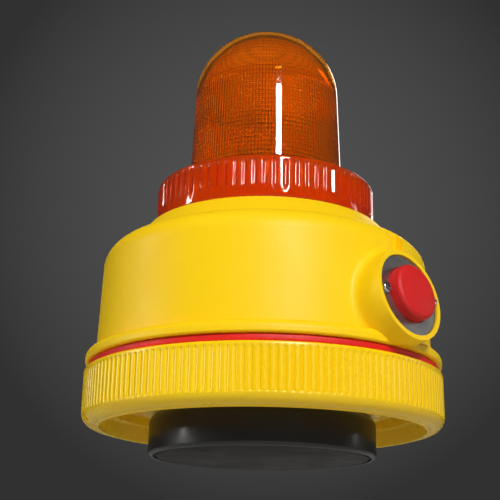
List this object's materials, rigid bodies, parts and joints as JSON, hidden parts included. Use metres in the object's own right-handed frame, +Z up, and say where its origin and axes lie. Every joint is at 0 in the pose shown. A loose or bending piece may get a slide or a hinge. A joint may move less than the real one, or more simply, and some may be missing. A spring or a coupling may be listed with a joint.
{
  "type": "barricade warning light",
  "caption": "Battery strobe warning light: ribbed amber dome lens on a round yellow housing with a side push switch, sealed to a knurled screw-on base cap with a pot magnet foot.",
  "frame": {"origin": "centre of the magnet's resting face", "axes": "+Z up along the light's axis, +X towards the push switch, +Y along the row of two cells"},
  "size_m": [0.1392, 0.1306, 0.1695],
  "materials": {
    "cap_yellow": "moulded, satin",
    "housing_yellow": "moulded, satin",
    "black_coat": "black powder coat",
    "ferrite": "ground, matt",
    "potting": "cast resin",
    "steel": "bright",
    "plate_steel": "satin stainless",
    "plated_steel": "nickel plated",
    "brass": "tinned brass",
    "black_plastic": "moulded",
    "grey_plastic": "moulded",
    "white_plastic": "moulded",
    "red_rubber": "moulded",
    "button_red": "fine textured",
    "cell_wrap": "printed sleeve, no print",
    "board_green": "solder mask",
    "capacitor_black": "shrink sleeve",
    "winding": "enamelled wire",
    "resistor_tan": "lacquer",
    "film_brown": "dipped",
    "ceramic_white": "glazed",
    "tube_glass": "clear glass",
    "lead_red": "insulation",
    "lead_black": "insulation",
    "lead_white": "insulation",
    "lens_amber": "moulded translucent, ribbed inside"
  },
  "bodies": {
    "base": {"base_cap": "cap_yellow", "magnet_cup": "black_coat", "magnet_disc": "ferrite", "magnet_potting": "potting", "magnet_screw": "steel", "magnet_washer": "steel", "contact_carrier": "black_plastic", "contact_ring": "plated_steel", "carrier_screws": "steel"},
    "gasket_lift": {"base_gasket": "red_rubber"},
    "housing": {"housing": "housing_yellow", "switch_plate": "plate_steel", "switch_plate_screws": "steel", "switch_body": "black_plastic", "switch_nut": "steel", "switch_terminals": "brass", "cell_nub_up": "cell_wrap", "cell_nub_down": "cell_wrap", "battery_cradle": "grey_plastic", "cradle_screws": "steel", "top_contacts": "plated_steel", "cell_springs": "plated_steel", "circuit_board": "board_green", "board_screws": "steel", "main_capacitor": "capacitor_black", "inverter_transformer": "ferrite", "trigger_transformer": "winding", "power_transistor": "black_plastic", "resistors": "resistor_tan", "film_capacitor": "film_brown", "lamp_plate": "white_plastic", "lamp_plate_screws": "steel", "tube_socket": "ceramic_white", "flash_tube": "tube_glass", "trigger_band": "plated_steel", "switch_leads": "lead_red", "battery_leads": "lead_black", "tube_leads": "lead_white"},
    "button": {"push_button": "button_red", "switch_plunger": "white_plastic"},
    "lens_lift": {"lens_gasket": "red_rubber"},
    "lens": {"dome_lens": "lens_amber"}
  },
  "joints": [
    {"name": "housing_unscrew", "type": "hinge", "parent": "gasket_lift", "child": "housing", "pos_m": [0, 0, 0.036], "axis": [0, 0, 1], "range_deg": [0, 360]},
    {"name": "housing_rise", "type": "slide", "parent": "base", "child": "gasket_lift", "axis": [0, 0, 1], "range_m": [0, 0.005]},
    {"name": "lens_unscrew", "type": "hinge", "parent": "lens_lift", "child": "lens", "pos_m": [0, 0, 0.09], "axis": [0, 0, 1], "range_deg": [0, 540]},
    {"name": "lens_rise", "type": "slide", "parent": "housing", "child": "lens_lift", "axis": [0, 0, 1], "range_m": [0, 0.006]},
    {"name": "button_press", "type": "slide", "parent": "housing", "child": "button", "axis": [-0.9848, 0, -0.1736], "range_m": [0, 0.0025], "stiffness_N_per_m": 900, "springref_m": -0.001}
  ],
  "couplings": [
    {"joint": "housing_rise", "follows": "housing_unscrew", "m_per_rad": 0.00079577},
    {"joint": "lens_rise", "follows": "lens_unscrew", "m_per_rad": 0.00063662}
  ]
}
